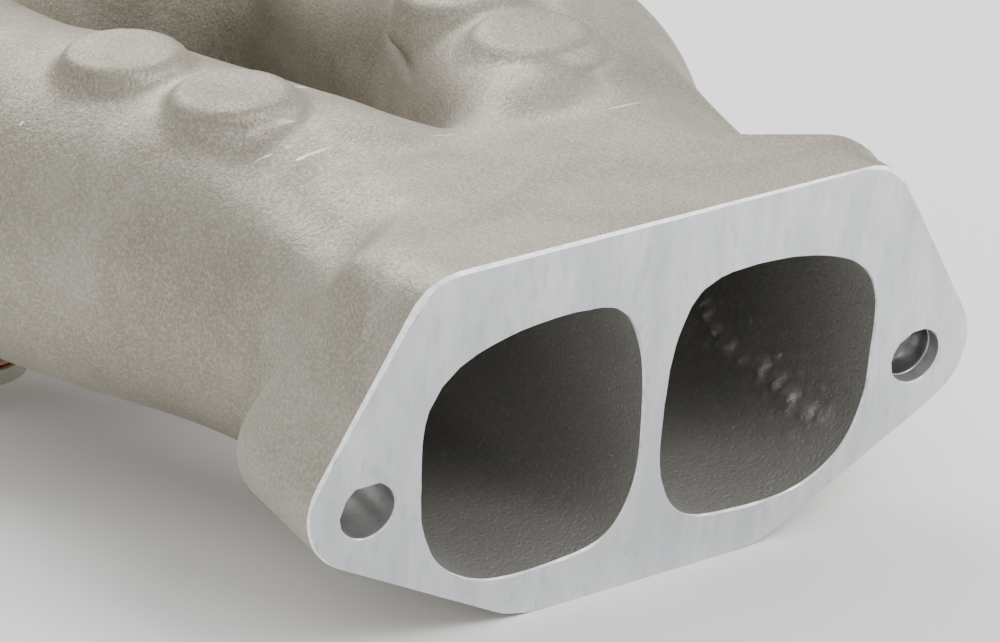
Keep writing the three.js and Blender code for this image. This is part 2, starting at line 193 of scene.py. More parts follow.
class Flat:
    """Signed distance to a closed outline, tabled once and read by bilinear interpolation."""

    CELL = 0.5
    EDGE = 8.0

    def __init__(self, outline):
        lo, hi = outline.min(0) - self.EDGE, outline.max(0) + self.EDGE
        self.lo = lo
        self.nx, self.nz = (np.ceil((hi - lo) / self.CELL).astype(int) + 1).tolist()
        along_x = lo[0] + np.arange(self.nx) * self.CELL
        along_z = lo[1] + np.arange(self.nz) * self.CELL
        gx, gz = np.meshgrid(along_x, along_z, indexing="ij")
        best = np.full(gx.shape, 1e9)
        inside = np.zeros(gx.shape, bool)
        for a, b in zip(outline, np.roll(outline, -1, 0)):
            ab = b - a
            size = ab @ ab
            if size < 1e-12:
                continue
            t = np.clip(((gx - a[0]) * ab[0] + (gz - a[1]) * ab[1]) / size, 0, 1)
            best = np.minimum(best, (gx - a[0] - t * ab[0]) ** 2 + (gz - a[1] - t * ab[1]) ** 2)
            crosses = (a[1] > gz) != (b[1] > gz)
            if ab[1] != 0:
                inside ^= crosses & (gx < a[0] + (gz - a[1]) * ab[0] / ab[1])
        best = np.sqrt(best)
        self.table = np.where(inside, -best, best)

    def __call__(self, x, z):
        u = np.clip((x - self.lo[0]) / self.CELL, 0, self.nx - 1.001)
        v = np.clip((z - self.lo[1]) / self.CELL, 0, self.nz - 1.001)
        i, j = u.astype(np.int64), v.astype(np.int64)
        u, v = u - i, v - j
        t = self.table
        near = t[i, j] * (1 - u) + t[i + 1, j] * u
        far = t[i, j + 1] * (1 - u) + t[i + 1, j + 1] * u
        return near * (1 - v) + far * v


# ---- the runners' centreline and the port's outline ---------------------------------------------

def bezier(t):
    """The right runner's centreline, from the head face (t = 0) to the carburettor face (t = 1)."""
    p0 = np.array([PORT_X, 0, PORT_Z])
    p1 = p0 + [0, HEAD_REACH, -SAG]
    p3 = np.array([BORE_X, RISE, -CARB_DROP])
    p2 = p3 - CARB_NORMAL * CARB_REACH
    t = t[:, None]
    return (1 - t) ** 3 * p0 + 3 * (1 - t) ** 2 * t * p1 + 3 * (1 - t) * t * t * p2 + t ** 3 * p3


line = bezier(np.linspace(0, 1, 801))
along = np.concatenate([[0], np.cumsum(np.linalg.norm(np.diff(line, axis=0), axis=1))])
line_u = along / along[-1]
# The line runs on straight past both faces, so that the cuts there are clean.
line = np.vstack([line[0] - [0, 20, 0], line, line[-1] + 20 * CARB_NORMAL])
line_u = np.concatenate([[0], line_u, [1]])
line_y = line[:, 1]
slope_x = np.gradient(line[:, 0], line_y)
slope_z = np.gradient(line[:, 2], line_y)
cos_x, cos_z = 1 / np.hypot(1, slope_x), 1 / np.hypot(1, slope_z)
line_blend = smooth01((line_u - ROUND_FROM) / (ROUND_TO - ROUND_FROM))
line_flare = smooth01((line_u - FLARE_FROM) / (FLARE_TO - FLARE_FROM))


def port_spline(per_span=24):
    """The closed centripetal Catmull-Rom curve through the port's points."""
    p = np.array(PORT_POINTS)
    n = len(p)
    out = []
    for i in range(n):
        a, b, c, d = p[i - 1], p[i], p[(i + 1) % n], p[(i + 2) % n]
        t0, t1, t2 = (math.sqrt(np.linalg.norm(v)) for v in (b - a, c - b, d - c))
        m1 = ((b - a) / t0 - (c - a) / (t0 + t1) + (c - b) / t1) * t1
        m2 = ((c - b) / t1 - (d - b) / (t1 + t2) + (d - c) / t2) * t1
        for s in np.arange(per_span) / per_span:
            out.append(
                b * (2 * s ** 3 - 3 * s * s + 1) + m1 * (s ** 3 - 2 * s * s + s)
                + c * (3 * s * s - 2 * s ** 3) + m2 * (s ** 3 - s * s)
            )
    return np.array(out)


port = port_spline() - [PORT_X, PORT_Z]
port_angle = np.arctan2(port[:, 1], port[:, 0])
order = np.argsort(port_angle)
ANGLES = np.linspace(-math.pi, math.pi, 721)
port_radius = np.linalg.norm(port, axis=1)
PORT_RADII = np.interp(ANGLES, port_angle[order], port_radius[order], period=2 * math.pi)
PORT_TURN = np.gradient(PORT_RADII, ANGLES)


def tube(x, y, z, side, wall, round_r, flare):
    """Distance to a runner's skin (with its wall) or passage (wall 0). The section goes over from
    the port's outline to a circle of radius round_r, and widens by flare at the far end."""
    i = np.interp(y, line_y, np.arange(len(line_y)))
    k = np.minimum(i.astype(np.int64), len(line_y) - 2)
    f = i - k

    def at(table):
        return table[k] * (1 - f) + table[k + 1] * f

    dx = (side * x - at(line[:, 0])) * at(cos_x)
    dz = (z - at(line[:, 2])) * at(cos_z)
    r = np.hypot(dx, dz)
    a = (np.arctan2(dz, dx) + math.pi) / (2 * math.pi) * (len(ANGLES) - 1)
    ai = np.minimum(a.astype(np.int64), len(ANGLES) - 2)
    af = a - ai
    b = at(line_blend)
    rho = PORT_RADII[ai] * (1 - af) + PORT_RADII[ai + 1] * af
    turn = (PORT_TURN[ai] * (1 - af) + PORT_TURN[ai + 1] * af) * (1 - b)
    radius = (rho + wall) * (1 - b) + b * round_r
    if flare:
        radius = radius + flare * at(line_flare)
    return (r - radius) / np.hypot(1, turn / np.maximum(r, 8.0))


# ---- the casting's field -----------------------------------------------------------------------

# The flange's sides run on upwards past its flat top, which is cut by the top surface.
EAR = (59.7, -3.0)
TOP = (38.8, FLANGE_TOP)
EDGE_SLOPE = (EAR[0] - TOP[0]) / (EAR[1] - TOP[1])
FAR_TOP = 70.0
flange_flat = Flat(rounded_outline(mirrored([
    (TOP[0] + EDGE_SLOPE * (FAR_TOP - TOP[1]), FAR_TOP, 2.0),
    (EAR[0], EAR[1], 10.6),
    (21.2, -FLANGE_FOOT, 15.0),
])))


def carb_outline(inset=0.0, per_arc=10):
    """The carburettor flange's outline, or the same drawn in by inset."""
    x, z = CARB_HALF_X - inset, CARB_HALF_Z - inset
    waist = CARB_HALF_Z - CARB_WAIST - inset
    upper = [(CARB_WAIST_X, waist, 10.0), (CARB_WAIST_X + 10.0, z, 8.0), (x, z, CARB_CORNER_R)]
    lower = [(px, -pz, r) for px, pz, r in reversed(upper)]
    return rounded_outline(mirrored(upper + lower), per_arc)


carb_flat = Flat(carb_outline())


def port_frame(side):
    """Origin, across, along and down of a vacuum port under a runner."""
    i = np.searchsorted(line_u[1:-1], PORT_AT) + 1
    tangent = line[i + 1] - line[i - 1]
    tangent /= np.linalg.norm(tangent)
    at = line[i] * [side, 1, 1]
    tangent = tangent * [side, 1, 1]
    across = np.cross(tangent, [0, 0, 1])
    across /= np.linalg.norm(across)
    down = np.cross(tangent, across)
    return at, across, np.cross(down, across), down


PORT_FRAMES = {-1: port_frame(-1), 1: port_frame(1)}


def shelf_top(y):
    return FLANGE_TOP - TOP_FALL * y + SHELF_RISE * y * y


def carb_axes(y, z):
    """How far a point lies out of the carburettor face, and down along it."""
    qy, qz = y - CARB_ORIGIN[1], z - CARB_ORIGIN[2]
    return qy * CARB_NORMAL[1] + qz * CARB_NORMAL[2], qy * CARB_DOWN[1] + qz * CARB_DOWN[2]


def casting_field(x, y, z):
    """Distance to the cast body's skin before its faces are machined, in mm."""
    ax = np.abs(x)
    # Flange and shelf sides, then one continuous top over both.
    back = FLANGE_BACK - (FLANGE_BACK - FLANGE_BACK_TOP) * smooth01((z - 4) / 26)
    flange = smax(flange_flat(x, z), y - back, 4.0)
    half = np.interp(y, SHELF_AT, SHELF_HALF)
    past_tip = y - SLOT_TIP_Y
    slot_half = SLOT_TIP_R + past_tip * SLOT_SPREAD
    slot = np.where(past_tip < 0, np.hypot(x, past_tip) - SLOT_TIP_R, ax - slot_half)
    shelf = smax(smax(ax - half, y - SHELF_END, 8.0), -z, 6.0)
    shelf = np.maximum(smax(shelf, -slot, 6.0), SHELF_FRONT - y)
    sides = smin(flange, shelf, 8.0)
    corner = 4.8 + 13.0 * smooth01((y - 14) / 14)
    body = smax(sides, z - shelf_top(y), corner)
    # Runners: they melt into the flange's back and, more gently, into the shelf.
    skins = smin(
        tube(x, y, z, -1, ROOT_WALL, BORE_R + WALL, FLARE),
        tube(x, y, z, 1, ROOT_WALL, BORE_R + WALL, FLARE), 7.0,
    )
    out, down = carb_axes(y, z)
    skins = smax(np.maximum(skins, 15.0 - y), out + CARB_THICK - 5.0, 2.0)
    blend = 4.0 + 5.0 * smooth01((ax - 33) / 8)
    body = smin(body, skins, blend)
    # The crowns keep a square shoulder towards the slot as far as the pads reach.
    crown_x = np.interp(y, line_y, line[:, 0])
    for side, (reach, low) in SHOULDERS.items():
        inner = crown_x - reach - side * x
        drop = low + 16.0 * smooth01((y - 98) / 48)
        roof = z - (PAD_TOP - PAD_SLOPE * (y - PAD_FROM) - drop)
        shoulder = smax(smax(inner, roof, 15.0), side * x - crown_x + 5.0, 6.0)
        shoulder = smax(smax(shoulder, 48.0 - y, 8.0), -4.0 - z, 8.0)
        body = smin(body, smax(shoulder, y - 150.0, 8.0), 5.0)
    # Carburettor flange: its fillet fades out where the flange's ends run flush with the runners.
    carb = smax(carb_flat(x, down), -CARB_THICK - out, 3.0)
    body = smin(body, carb, 1.5 + 9.5 * smooth01((72 - ax) / 16))
    # Raised pads on the crowns.
    face = PAD_TOP - PAD_SLOPE * (y - PAD_FROM)
    for (x0, y0), (x1, y1) in PADS:
        lobes = smin(np.hypot(x - x0, y - y0), np.hypot(x - x1, y - y1), 3.0) - PAD_R
        wall = (lobes - (face - z) * PAD_DRAFT) * PAD_COS
        pad = smax(smax(wall, z - face, 2.0), face - PAD_HEIGHT - z, 2.0)
        body = smin(body, pad, 3.0)
    # Vacuum bosses.
    for at, across, forth, drop in PORT_FRAMES.values():
        px, py, pz = x - at[0], y - at[1], z - at[2]
        axial = px * drop[0] + py * drop[1] + pz * drop[2]
        radial = np.sqrt(np.maximum(px * px + py * py + pz * pz - axial * axial, 0))
        boss = smax(radial - PORT_BOSS_R, axial - PORT_BOSS_OUT, 1.2)
        boss = smax(boss, PORT_BOSS_FROM - axial, 2.0)
        body = smin(body, boss, 4.0)
        body = np.maximum(body, -np.maximum(radial - PORT_DRILL_R, PORT_DRILL_FROM - axial))
        body = np.maximum(body, -np.maximum(radial - PORT_HOLE_R, PORT_HOLE_FROM - axial))
    return body


def core_flash(x, y, z):
    """Height of the rough seam that the core's joint left along the right passage's wall."""
    along_seam = smooth01((y - 3) / 7) * (1 - smooth01((y - 38) / 16))
    middle = -11.0 + 0.5 * np.sin(0.31 * y + 1.0) - 0.03 * (y - 20)
    lumpy = 0.5 + 0.3 * np.sin(1.45 * y + 0.9 * np.sin(0.7 * y)) + 0.3 * np.sin(2.9 * y + 1.1 * z)
    ridge = np.exp(-((z - middle) / 1.1) ** 2) * np.maximum(lumpy, 0.1)
    beads = np.sin(1.7 * y + 0.6 * z) * np.sin(1.35 * z - 0.5 * y + 0.7)
    spread = np.exp(-((z - middle - 1.5) / 5.0) ** 2) * np.clip(beads - 0.35, 0, 1)
    return np.where(x > 30, along_seam * (1.25 * ridge + 0.9 * spread), 0.0)


def bored_field(x, y, z):
    """The casting with its passages and drilled holes."""
    body = casting_field(x, y, z)
    for side in (-1, 1):
        passage = tube(x, y, z, side, 0.0, BORE_R, 0.0)
        if side > 0:
            passage = passage + core_flash(x, y, z)
        body = np.maximum(body, -passage)
        hole = np.hypot(x - side * STUD_PITCH / 2, z) - STUD_HOLE_R
        body = np.maximum(body, -np.maximum(hole, y - STUD_HOLE_END))
    out, down = carb_axes(y, z)
    for sx, sy in CARB_STUDS:
        hole = np.hypot(x - sx, down - sy) - TAPPED_R
        body = np.maximum(body, -np.maximum(hole, -STUD_DEPTH - out))
    return body


# ---- meshing -------------------------------------------------------------------------------------

def grid_values(field, axes):
    """The field at every grid point, worked out one layer of y at a time."""
    gx, gz = np.meshgrid(axes[0], axes[2], indexing="ij")
    values = np.empty((len(axes[0]), len(axes[1]), len(axes[2])), np.float32)
    for j, y in enumerate(axes[1]):
        values[:, j, :] = field(gx, np.full(gx.shape, y), gz)
    return values


def surface_nets(values, axes):
    """Vertices and quads of the zero surface, one vertex in each crossed cell."""
    inside = values < 0
    cells = tuple(n - 1 for n in values.shape)
    total = np.zeros(cells + (3,), np.float32)
    count = np.zeros(cells, np.float32)
    quads = []
    for a in range(3):
        b, c = (a + 1) % 3, (a + 2) % 3

        def edge(offset_a, array):
            window = [slice(None)] * 3
            window[a] = slice(offset_a, array.shape[a] - 1 + offset_a)
            return array[tuple(window)]

        v0, v1 = edge(0, values), edge(1, values)
        crossed = edge(0, inside) != edge(1, inside)
        t = np.where(crossed, v0 / np.where(crossed, v0 - v1, 1), 0)
        for ob in (0, 1):
            for oc in (0, 1):
                window = [slice(None)] * 3
                window[b] = slice(ob, values.shape[b] - 1 + ob)
                window[c] = slice(oc, values.shape[c] - 1 + oc)
                hit = crossed[tuple(window)]
                count += hit
                total[..., a] += t[tuple(window)] * hit
                total[..., b] += hit * ob
                total[..., c] += hit * oc
        inner = [slice(None)] * 3
        inner[b] = slice(1, values.shape[b] - 1)
        inner[c] = slice(1, values.shape[c] - 1)
        at = np.argwhere(crossed[tuple(inner)])
        at[:, b] += 1
        at[:, c] += 1
        step_b, step_c = np.eye(3, dtype=int)[b], np.eye(3, dtype=int)[c]
        ring = np.stack([at - step_b - step_c, at - step_c, at, at - step_b], 1)
        starts_inside = inside[at[:, 0], at[:, 1], at[:, 2]]
        ring[~starts_inside] = ring[~starts_inside][:, ::-1]
        quads.append(ring)
    used = count > 0
    number = np.full(cells, -1, np.int64)
    number[used] = np.arange(used.sum())
    where = np.argwhere(used) + total[used] / count[used][:, None]
    points = np.stack([np.interp(where[:, a], np.arange(len(axes[a])), axes[a]) for a in range(3)], 1)
    quads = np.concatenate(quads)
    return points, number[quads[..., 0], quads[..., 1], quads[..., 2]]


def gradient(field, p, h=0.05):
    g = np.empty_like(p)
    for a in range(3):
        d = np.zeros(3)
        d[a] = h
        up, lo = p + d, p - d
        g[:, a] = (field(*up.T) - field(*lo.T)) / (2 * h)
    return g


def settled(field, p):
    """Moves points onto the field's zero surface, in two Newton steps."""
    for _ in range(2):
        g = gradient(field, p)
        size = np.maximum((g * g).sum(1), 0.25)
        shift = -(field(*p.T) / size)[:, None] * g
        length = np.linalg.norm(shift, axis=1, keepdims=True)
        p = p + shift * np.minimum(1, 0.6 * STEP / np.maximum(length, 1e-9))
    return p


def mesh_object(name, points, faces, materials=()):
    mesh = bpy.data.meshes.new(name)
    mesh.from_pydata([tuple(p) for p in points], [], [tuple(f) for f in faces])
    for m in materials:
        mesh.materials.append(m)
    mesh.validate()
    mesh.update()
    made = bpy.data.objects.new(name, mesh)
    bpy.context.scene.collection.objects.link(made)
    return made


# ---- materials -----------------------------------------------------------------------------------

def opaque(colour):
    """A colour with its alpha. Sockets and plain numbers pass through."""
    return colour if isinstance(colour, (float, bpy.types.NodeSocket)) else (*colour, 1.0)


class Nodes:
    """A short way to write a node tree."""

    def __init__(self, name):
        self.material = bpy.data.materials.new(name)
        self.material.use_nodes = True
        self.tree = self.material.node_tree
        self.shader = self.tree.nodes["Principled BSDF"]
        self.place = self.add("ShaderNodeTexCoord").outputs["Object"]

    def add(self, kind, **values):
        node = self.tree.nodes.new(kind)
        for key, value in values.items():
            if hasattr(node, key):
                setattr(node, key, value)
            else:
                self.put(node.inputs[key.replace("_", " ")], value)
        return node

    def put(self, socket, value):
        if isinstance(value, bpy.types.NodeSocket):
            self.tree.links.new(value, socket)
        else:
            socket.default_value = value

    def noise(self, scale, detail=3.0, roughness=0.55, stretch=None, distortion=0.0):
        """Noise whose scale is in features per metre."""
        place = self.place
        if stretch:
            place = self.add("ShaderNodeMapping", Vector=place, Scale=stretch).outputs[0]
        made = self.add("ShaderNodeTexNoise", Vector=place)
        made.inputs["Scale"].default_value = scale
        made.inputs["Detail"].default_value = detail
        made.inputs["Roughness"].default_value = roughness
        made.inputs["Distortion"].default_value = distortion
        return made.outputs[0]

    def cells(self, scale):
        made = self.add("ShaderNodeTexVoronoi", Vector=self.place)
        made.inputs["Scale"].default_value = scale
        return made.outputs["Distance"]

    def span(self, value, low, high, to_low=0.0, to_high=1.0):
        made = self.add("ShaderNodeMapRange")
        self.put(made.inputs[0], value)
        for i, v in enumerate((low, high, to_low, to_high)):
            made.inputs[i + 1].default_value = v
        return made.outputs[0]

    def math(self, operation, a, b):
        made = self.add("ShaderNodeMath", operation=operation)
        self.put(made.inputs[0], a)
        self.put(made.inputs[1], b)
        return made.outputs[0]

    def mix(self, factor, a, b):
        made = self.add("ShaderNodeMix", data_type="RGBA")
        for socket, value in ((made.inputs[0], factor), (made.inputs[6], a), (made.inputs[7], b)):
            self.put(socket, opaque(value))
        return made.outputs[2]

    def bump(self, height, strength, distance, normal=None):
        made = self.add("ShaderNodeBump")
        made.inputs["Strength"].default_value = strength
        made.inputs["Distance"].default_value = distance
        self.put(made.inputs["Height"], height)
        if normal:
            self.put(made.inputs["Normal"], normal)
        return made.outputs[0]

    def attribute(self, name):
        return self.add("ShaderNodeAttribute", attribute_name=name).outputs["Fac"]

    def finish(self, colour, roughness, metallic, normal=None):
        self.put(self.shader.inputs["Base Color"], opaque(colour))
        self.put(self.shader.inputs["Roughness"], roughness)
        self.put(self.shader.inputs["Metallic"], metallic)
        if normal:
            self.put(self.shader.inputs["Normal"], normal)
        return self.material


def cast_skin():
    """Sand-cast aluminium, blasted: a fine grain with faint stains, a highlight painted into the
    fillets and creases, and a few short white scratches."""
    n = Nodes("cast_skin")
    grain = n.noise(1900, 2.0, 0.6)
    grit = n.cells(1500)
    waves = n.noise(160, 3.0, 0.5)
    stains = n.noise(38, 4.0, 0.6, distortion=0.6)
    highlight_and_seam = n.attribute("highlight_and_seam")
    base = n.mix(n.span(stains, 0.36, 0.66), (0.275, 0.247, 0.192), (0.365, 0.337, 0.275))
    base = n.mix(n.span(grain, 0.42, 0.74, 0.0, 0.50), base, (0.56, 0.535, 0.465))
    base = n.mix(n.span(grit, 0.02, 0.30, 0.30, 0.0), base, (0.17, 0.157, 0.132))
    # A painted highlight: the fillets and creases are mixed towards a pale colour.
    fillet_highlight = n.math("MULTIPLY", highlight_and_seam, n.span(grain, 0.3, 0.7, 0.35, 1.0))
    base = n.mix(fillet_highlight, base, (0.80, 0.775, 0.73))
    scratches = n.span(n.noise(170, 2.0, 0.5, stretch=(0.16, 2.2, 2.2)), 0.715, 0.74)
    patches = n.span(n.noise(30, 2.0, 0.5), 0.52, 0.60)
    base = n.mix(n.math("MULTIPLY", scratches, patches), base, (0.82, 0.81, 0.79))
    rough = n.span(n.math("ADD", waves, n.math("MULTIPLY", grain, 0.5)), 0.4, 1.1, 0.66, 0.46)
    normal = n.bump(n.noise(420, 2.0), 0.25, 0.0006)
    normal = n.bump(n.math("SUBTRACT", grain, n.span(grit, 0.0, 0.35, 0.5, 0.0)), 0.5, 0.00022, normal)
    return n.finish(base, rough, 0.72, normal)


def passage_skin():
    """The cored passages: sandy, left unblasted, and painted darker as the shade inside them."""
    n = Nodes("passage_skin")
    grain = n.noise(1500, 2.0, 0.65)
    grit = n.cells(1150)
    lumps = n.noise(520, 3.0, 0.6)
    stains = n.noise(55, 4.0, 0.6)
    # Darker base colours: painted shade for the inside of the passages.
    base = n.mix(n.span(stains, 0.35, 0.65), (0.170, 0.165, 0.150), (0.235, 0.225, 0.205))
    base = n.mix(n.span(grain, 0.55, 0.80, 0.0, 0.75), base, (0.52, 0.50, 0.46))
    # Lightened by the painted highlight in the fillets and creases, and along the core seam.
    base = n.mix(n.attribute("highlight_and_seam"), base, (0.44, 0.43, 0.40))
    normal = n.bump(lumps, 0.30, 0.0003)
    normal = n.bump(n.math("SUBTRACT", grain, n.span(grit, 0.0, 0.4, 0.6, 0.0)), 0.6, 0.00022, normal)
    return n.finish(base, n.span(grain, 0.3, 0.8, 0.66, 0.46), 0.70, normal)


def milled_face(name, stretch):
    """A face-milled surface: fine parallel tool marks (their pale streaks partly a painted reflection)
    and a few scuffs.
    """
    n = Nodes(name)
    streaks = n.noise(240, 3.0, 0.6, stretch=stretch)
    fine = n.noise(900, 2.0, 0.6, stretch=stretch)
    clouds = n.noise(26, 3.0, 0.55)
    base = n.mix(n.span(clouds, 0.35, 0.66), (0.50, 0.515, 0.53), (0.60, 0.615, 0.63))
    # Pale streaks: partly the tool marks' own tone, partly a painted reflection.
    base = n.mix(n.span(streaks, 0.42, 0.66, 0.0, 0.42), base, (0.80, 0.81, 0.82))
    base = n.mix(n.span(fine, 0.55, 0.72, 0.0, 0.30), base, (0.34, 0.35, 0.36))
    rough = n.span(n.math("ADD", streaks, n.math("MULTIPLY", clouds, 0.6)), 0.55, 1.05, 0.44, 0.30)
    normal = n.bump(streaks, 0.12, 0.00012)
    normal = n.bump(fine, 0.20, 0.00005, normal)
    return n.finish(base, rough, 0.88, normal)


def bright_edge():
    """Burred and file-broken edges of the machined faces; their near-white is partly a painted
    highlight.
    """
    n = Nodes("bright_edge")
    torn = n.noise(700, 3.0, 0.7)
    # Near-white: partly the bare torn metal, partly a painted highlight.
    base = n.mix(n.span(torn, 0.35, 0.65), (0.74, 0.74, 0.73), (0.96, 0.96, 0.95))
    return n.finish(base, n.span(torn, 0.3, 0.7, 0.50, 0.30), 0.5, n.bump(torn, 0.5, 0.00015))


def turned_metal(name, low, high, roughness, metallic=1.0):
    """Small hardware: plated or plain metal, with clouds in its polish and handling marks."""
    n = Nodes(name)
    clouds = n.noise(120, 3.0, 0.6)
    marks = n.noise(600, 4.0, 0.7)
    base = n.mix(n.span(clouds, 0.35, 0.65), low, high)
    base = n.mix(n.span(marks, 0.60, 0.75, 0.0, 0.5), base, tuple(c * 0.55 for c in low))
    rough = n.span(n.math("ADD", clouds, marks), 0.7, 1.3, roughness - 0.08, roughness + 0.12)
    return n.finish(base, rough, metallic, n.bump(marks, 0.2, 0.00006))


def gasket_fibre():
    """Dark green-grey fibre sheet with pale flecks."""
    n = Nodes("gasket_fibre")
    weave = n.noise(900, 3.0, 0.7, stretch=(1.0, 1.0, 3.0))
    flecks = n.cells(700)
    base = n.mix(n.span(weave, 0.35, 0.65), (0.035, 0.045, 0.042), (0.085, 0.092, 0.085))
    base = n.mix(n.span(flecks, 0.03, 0.14, 0.6, 0.0), base, (0.24, 0.23, 0.20))
    return n.finish(base, n.span(weave, 0.3, 0.7, 0.95, 0.75), 0.0, n.bump(weave, 0.4, 0.0001))


SKIN = cast_skin()
PASSAGE = passage_skin()
HEAD_MILLED = milled_face("head_face_milled", (1.0, 1.0, 0.10))
CARB_MILLED = milled_face("carburettor_face_milled", (0.12, 1.0, 1.0))
EDGE = bright_edge()
DRILLED = turned_metal("drilled_aluminium", (0.50, 0.50, 0.50), (0.68, 0.68, 0.67), 0.36, 0.9)
ZINC = turned_metal("zinc_steel", (0.52, 0.51, 0.46), (0.70, 0.68, 0.60), 0.34)
SPRING = turned_metal("spring_steel", (0.16, 0.16, 0.165), (0.27, 0.27, 0.275), 0.40)
SLEEVE = turned_metal("sleeve_steel", (0.30, 0.30, 0.31), (0.46, 0.46, 0.47), 0.32)
COPPER = turned_metal("sealing_copper", (0.62, 0.27, 0.15), (0.80, 0.40, 0.25), 0.36)
FIBRE = gasket_fibre()

CASTING_LOOKS = [SKIN, PASSAGE, HEAD_MILLED, CARB_MILLED, EDGE, DRILLED]
IS_SKIN, IS_PASSAGE, IS_HEAD_FACE, IS_CARB_FACE, IS_EDGE, IS_DRILLED = range(6)


# ---- the casting ------------------------------------------------------------------------------------

RECESS = 0.40  # the skin stops this far below a machined face, and the broken edge bridges it
WELD = 0.15  # rim points nearer than this become one
FLAT_GRID = 5.0  # spacing of the points spread over a machined face
NEAR = 0.12  # a triangle this near a passage or drilled wall belongs to it
HELD = 0.5  # points this near a stud hole's wall are kept when the mesh is thinned


def wavy(points, scale, seed):
    """Smooth noise from -1 to 1 at each point."""
    shift = Vector((seed * 17.3, seed * 5.1, seed * 9.7))
    return np.array([mnoise.noise(Vector(p) * scale + shift) for p in points])


def machine(bm, at, normal, width, face_index, holes):
    """Cuts the casting flat at a plane, with a thin broken edge round every opening.
    width gives the edge's breadth at each rim point, and holes are the (centre, radius) of the
    drilled openings, whose rims are made truly round."""
    at, normal, across = np.array(at), np.array(normal), np.array((1, 0, 0))
    other = np.cross(normal, across)
    geom = bm.verts[:] + bm.edges[:] + bm.faces[:]
    bmesh.ops.bisect_plane(
        bm, geom=geom, dist=1e-5, clear_outer=True,
        plane_co=Vector(at - normal * RECESS), plane_no=Vector(normal),
    )

    def on_cut(v):
        return abs((v.co - Vector(at)).dot(Vector(normal)) + RECESS) < 0.01

    bmesh.ops.remove_doubles(bm, verts=[v for v in bm.verts if v.is_boundary and on_cut(v)], dist=WELD)

    def find_rim():
        return [e for e in bm.edges if e.is_boundary and on_cut(e.verts[0]) and on_cut(e.verts[1])]

    # Drilled rims are divided finer and drawn onto their circles.
    for centre, radius in holes:
        centre = Vector(np.array(centre) - normal * RECESS)

        def off_round(v):
            return abs((v.co - centre).length - radius)

        ring = [e for e in find_rim() if all(off_round(v) < 0.4 for v in e.verts)]
        bmesh.ops.subdivide_edges(bm, edges=ring, cuts=2)
        for e in find_rim():
            for v in e.verts:
                if off_round(v) < 0.7:
                    v.co = centre + (v.co - centre).normalized() * radius
    # The broken edge: a strip from each rim up to its inner twin on the face.
    rim = find_rim()
    rim_verts = list(dict.fromkeys(v for e in rim for v in e.verts))
    base = np.array([v.co for v in rim_verts])
    g = gradient(bored_field, base)
    g -= (g @ normal)[:, None] * normal
    g /= np.maximum(np.linalg.norm(g, axis=1, keepdims=True), 1e-6)
    inner = base + normal * RECESS - g * width(base)[:, None]
    twin = {v: bm.verts.new(Vector(p)) for v, p in zip(rim_verts, inner)}
    for e in rim:
        a, b = e.verts
        loop = e.link_loops[0]
        if loop.vert is a:
            a, b = b, a
        f = bm.faces.new((a, b, twin[b], twin[a]))
        f.material_index = IS_EDGE
        f.smooth = True
        e.smooth = False
    # Triangles between the inner loops, with some points spread over the flat.
    index = {v: i for i, v in enumerate(rim_verts)}
    flat = np.stack([(inner - at) @ across, (inner - at) @ other], 1)
    lo, hi = flat.min(0), flat.max(0)
    gu, gv = np.meshgrid(np.arange(lo[0], hi[0], FLAT_GRID), np.arange(lo[1], hi[1], FLAT_GRID))
    spread = np.stack([gu.ravel(), gv.ravel()], 1)
    spots = at + spread[:, :1] * across + spread[:, 1:] * other - normal * 0.2
    spread = spread[bored_field(*spots.T) < -1.2]
    spots = at + spread[:, :1] * across + spread[:, 1:] * other
    corners = [Vector(p) for p in np.vstack([flat, spread])]
    pairs = [(index[e.verts[0]], index[e.verts[1]]) for e in rim]
    found, _, triangles, source, _, _ = delaunay_2d_cdt(corners, pairs, [], 0, 1e-6)
    targets = [twin[v] for v in rim_verts] + [bm.verts.new(Vector(p)) for p in spots]
    found = np.array(found)
    corner_of = [
        targets[s[0]] if s else bm.verts.new(Vector(at + p[0] * across + p[1] * other))
        for p, s in zip(found, source)
    ]
    middles = np.array([found[list(t)].mean(0) for t in triangles])
    probes = at + middles[:, :1] * across + middles[:, 1:] * other - normal * RECESS
    solid = bored_field(*probes.T) < 0
    for t, keep in zip(triangles, solid):
        if not keep:
            continue
        f = bm.faces.new([corner_of[i] for i in t])
        f.material_index = face_index
        f.smooth = False
        for e in f.edges:
            if not all(len(lf.verts) == 3 and lf.material_index == face_index for lf in e.link_faces):
                e.smooth = False


def head_edge_width(p):
    """Torn by the cutter, widest up the left ear and in patches along the top."""
    torn = 0.5 + 0.5 * wavy(p, 0.9, 1)
    ear = smooth01((-p[:, 0] - 37) / 5) * smooth01((p[:, 2] - 2) / 8)
    ridge = smooth01((p[:, 2] - 24) / 6) * smooth01(0.4 + 1.6 * wavy(p, 0.09, 3))
    return 0.14 + 0.34 * torn ** 2 + ear * (0.25 + 1.15 * torn) + ridge * (0.15 + 0.75 * torn)


def carb_edge_width(p):
    return 0.30 + 0.12 * wavy(p, 0.5, 2)


def spaced(stretches):
    """Grid places: each stretch runs from its start to the next one at a share of STEP."""
    out = []
    for (start, share), (stop, _) in zip(stretches, stretches[1:]):
        count = max(1, round((stop - start) / (STEP * share)))
        out.append(np.linspace(start, stop, count, endpoint=False))
    return np.concatenate(out) + NUDGE


